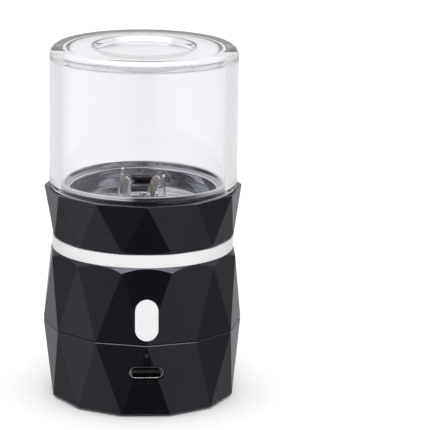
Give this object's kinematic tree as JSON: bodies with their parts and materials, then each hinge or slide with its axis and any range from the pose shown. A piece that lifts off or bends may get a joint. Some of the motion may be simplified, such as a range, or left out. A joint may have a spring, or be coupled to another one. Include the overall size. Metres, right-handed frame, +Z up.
{
  "type": "herb grinder",
  "caption": "Battery-powered herb and spice grinder with a faceted body, front button, USB-C inlet, steel bowl with spinning blade prongs and a screw-on glass jar lid.",
  "frame": {"origin": "middle of the face it stands on, in the plane of the rubber foot", "axes": "+Z up along the motor, thread and lid axis; -Y towards the front with the button, light and USB-C inlet; +X to the right seen from the front"},
  "size_m": [0.052, 0.052, 0.0931],
  "materials": {
    "jar_glass": "clear",
    "black_abs": "satin",
    "white_abs": "satin",
    "bowl_steel": "polished",
    "blade_steel": "ground",
    "bright_steel": "bright",
    "plated_can": "zinc plated",
    "bronze": "sintered",
    "brass": "bright",
    "copper": "copper",
    "black_rubber": "matte",
    "magnet": "matte",
    "dark_plastic": "satin",
    "board": "satin",
    "ceramic_chip": "matte",
    "light_plastic": "translucent",
    "cell_pouch": "satin foil",
    "foam": "matte",
    "red_lead": "satin",
    "black_lead": "satin"
  },
  "bodies": {
    "base": {"threaded_neck": "black_abs", "accent_ring": "white_abs", "grinding_bowl": "bowl_steel", "shaft_seal": "black_rubber", "upper_housing": "black_abs", "lower_housing": "black_abs", "foot_pad": "black_rubber", "housing_screws": "bright_steel", "neck_screws": "bright_steel", "motor_screws": "bright_steel", "motor_can": "plated_can", "motor_magnets": "magnet", "motor_front_bushing": "bronze", "motor_end_bell": "dark_plastic", "motor_rear_bushing": "bronze", "motor_brushes": "copper", "motor_terminals": "brass", "switch_body": "dark_plastic", "light_pipe": "light_plastic", "indicator_led": "light_plastic", "control_board": "board", "charge_chip": "dark_plastic", "charge_coil": "dark_plastic", "board_capacitors": "ceramic_chip", "battery_socket": "light_plastic", "battery_plug": "light_plastic", "usb_shell": "bright_steel", "usb_tongue": "dark_plastic", "usb_contacts": "brass", "battery_cell": "cell_pouch", "cell_pad": "foam", "battery_lead_red": "red_lead", "battery_lead_black": "black_lead", "motor_lead_red": "red_lead", "motor_lead_black": "black_lead"},
    "seal": {"neck_seal": "black_rubber"},
    "lid": {"glass_jar": "jar_glass", "lid_collar": "black_abs"},
    "rotor": {"motor_shaft": "bright_steel", "armature_core": "plated_can", "armature_windings": "copper", "commutator": "copper", "blade_hub": "brass", "outer_blade": "blade_steel", "cross_blade": "blade_steel", "inner_blade": "blade_steel", "blade_washer": "bright_steel", "blade_nut": "bright_steel"},
    "button": {"power_button": "white_abs", "switch_plunger": "dark_plastic"}
  },
  "joints": [
    {"name": "lid_turn", "type": "hinge", "parent": "base", "child": "seal", "pos_m": [0, 0, 0.0442], "axis": [0, 0, 1], "range_deg": [0, 380]},
    {"name": "lid_lift", "type": "slide", "parent": "seal", "child": "lid", "axis": [0, 0, 1], "range_m": [0, 0.0034]},
    {"name": "blade_spin", "type": "hinge", "parent": "base", "child": "rotor", "pos_m": [0, 0, 0.0487], "axis": [0, 0, 1], "continuous": true},
    {"name": "button_press", "type": "slide", "parent": "base", "child": "button", "axis": [0, 1, 0], "range_m": [0, 0.0005], "stiffness_N_per_m": 400}
  ],
  "couplings": [
    {"joint": "lid_lift", "follows": "lid_turn", "m_per_rad": 0.0005093}
  ]
}
